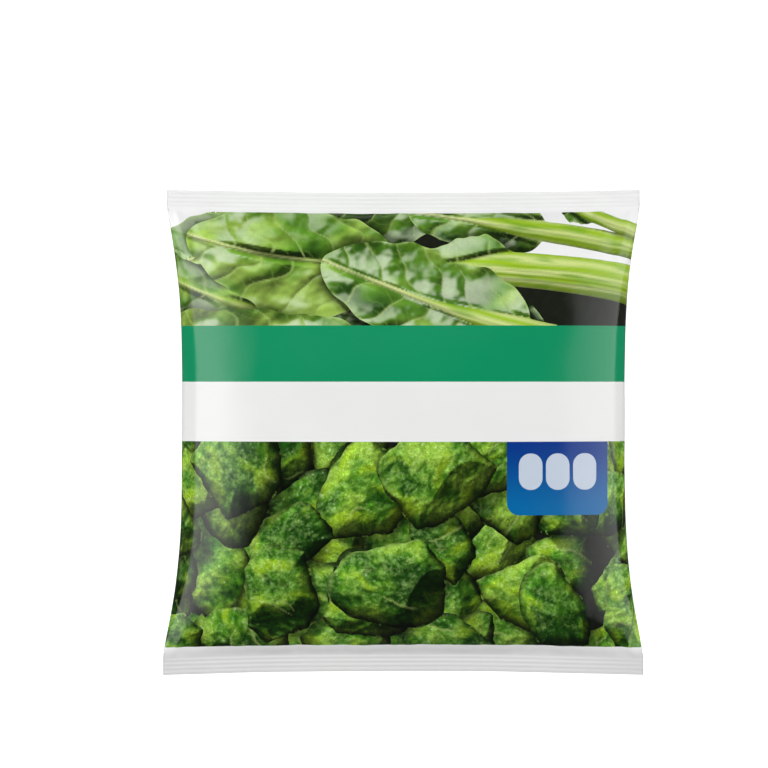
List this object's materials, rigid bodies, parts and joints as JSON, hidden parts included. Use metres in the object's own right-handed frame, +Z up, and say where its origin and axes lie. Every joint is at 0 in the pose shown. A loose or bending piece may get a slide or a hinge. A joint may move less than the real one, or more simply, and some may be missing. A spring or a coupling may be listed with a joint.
{
  "type": "frozen vegetable pillow bag",
  "caption": "Sealed pillow bag of printed plastic film with ribbed end seals and a back fin seal, filled with loose frozen leaf portions and lying on its back.",
  "frame": {"origin": "centre of the bag's footprint, on the surface that it lies on", "axes": "+Z up out of the printed front, +Y towards the top seal, +X to the right of the printed front"},
  "size_m": [0.2, 0.202, 0.0437],
  "materials": {
    "printed_film": "glossy printed film in leaf greens, with a green and a white band and white ends",
    "frozen_leaf": "rough pressed leaf with frost"
  },
  "bodies": {
    "root": {"film_bag": "printed_film", "frozen_portion_01": "frozen_leaf", "frozen_portion_02": "frozen_leaf", "frozen_portion_03": "frozen_leaf", "frozen_portion_04": "frozen_leaf", "frozen_portion_05": "frozen_leaf", "frozen_portion_06": "frozen_leaf", "frozen_portion_07": "frozen_leaf", "frozen_portion_08": "frozen_leaf", "frozen_portion_09": "frozen_leaf", "frozen_portion_10": "frozen_leaf", "frozen_portion_11": "frozen_leaf", "frozen_portion_12": "frozen_leaf", "frozen_portion_13": "frozen_leaf", "frozen_portion_14": "frozen_leaf", "frozen_portion_15": "frozen_leaf", "frozen_portion_16": "frozen_leaf", "frozen_portion_17": "frozen_leaf", "frozen_portion_18": "frozen_leaf", "frozen_portion_19": "frozen_leaf", "frozen_portion_20": "frozen_leaf", "frozen_portion_21": "frozen_leaf", "frozen_portion_22": "frozen_leaf", "frozen_portion_23": "frozen_leaf", "frozen_portion_24": "frozen_leaf", "frozen_portion_25": "frozen_leaf"}
  },
  "joints": []
}
